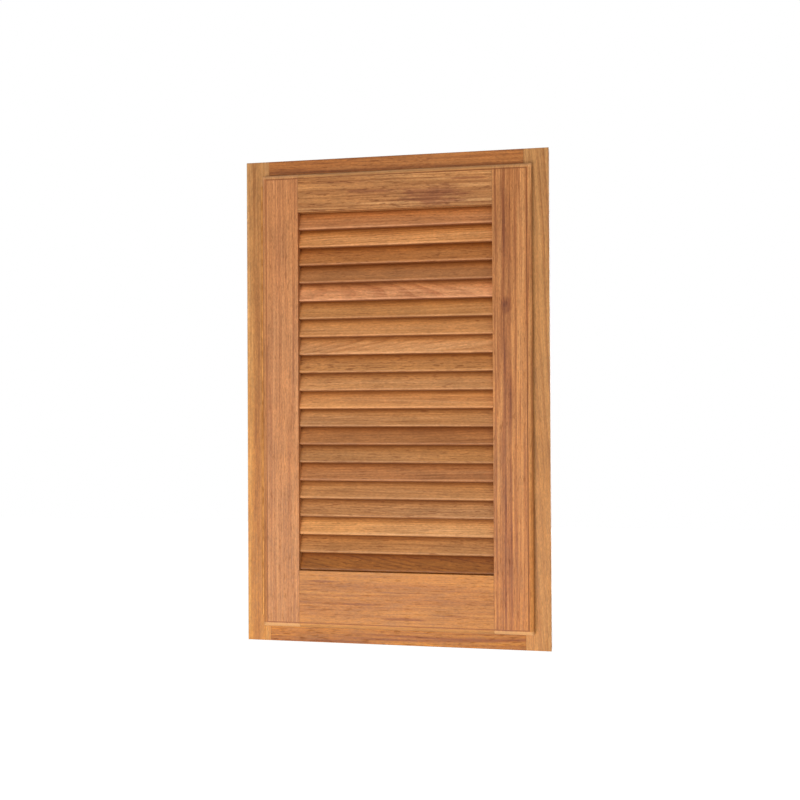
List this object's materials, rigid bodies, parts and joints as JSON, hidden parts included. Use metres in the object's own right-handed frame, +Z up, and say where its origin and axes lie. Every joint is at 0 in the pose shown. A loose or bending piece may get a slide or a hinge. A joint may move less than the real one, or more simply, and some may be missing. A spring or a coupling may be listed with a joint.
{
  "type": "louvred door",
  "caption": "Small louvred wooden door with a lipped, round-edged leaf of tilted slats, hung on a continuous hinge in its own flat wooden frame.",
  "frame": {"origin": "on the frame's back face, at the middle of its bottom rail", "axes": "+X to the right seen from the front, +Y into the wall, +Z up"},
  "size_m": [0.321, 0.0305, 0.511],
  "materials": {
    "frame_wood": "oiled satin",
    "door_wood": "oiled satin",
    "slat_wood": "oiled satin",
    "hinge_brass": "satin, slightly dulled",
    "catch_plastic": "brown, matte",
    "magnet": "matte sintered",
    "strike_steel": "brushed"
  },
  "bodies": {
    "frame": {"frame_left_stile": "frame_wood", "frame_right_stile": "frame_wood", "frame_top_rail": "frame_wood", "frame_bottom_rail": "frame_wood", "hinge_frame_leaf": "hinge_brass", "hinge_pin": "hinge_brass", "catch_body": "catch_plastic", "catch_magnet": "magnet"},
    "leaf": {"door_left_stile": "door_wood", "door_right_stile": "door_wood", "door_top_rail": "door_wood", "door_bottom_rail": "door_wood", "louvre_slat_01": "slat_wood", "louvre_slat_02": "slat_wood", "louvre_slat_03": "slat_wood", "louvre_slat_04": "slat_wood", "louvre_slat_05": "slat_wood", "louvre_slat_06": "slat_wood", "louvre_slat_07": "slat_wood", "louvre_slat_08": "slat_wood", "louvre_slat_09": "slat_wood", "louvre_slat_10": "slat_wood", "louvre_slat_11": "slat_wood", "louvre_slat_12": "slat_wood", "louvre_slat_13": "slat_wood", "louvre_slat_14": "slat_wood", "louvre_slat_15": "slat_wood", "louvre_slat_16": "slat_wood", "louvre_slat_17": "slat_wood", "louvre_slat_18": "slat_wood", "louvre_slat_19": "slat_wood", "louvre_slat_20": "slat_wood", "hinge_door_leaf": "hinge_brass", "strike_plate": "strike_steel"}
  },
  "joints": [
    {"name": "door_swing", "type": "hinge", "parent": "frame", "child": "leaf", "pos_m": [-0.1423, -0.0208, 0.2428], "axis": [0, 0, -1], "range_deg": [0, 115]}
  ]
}
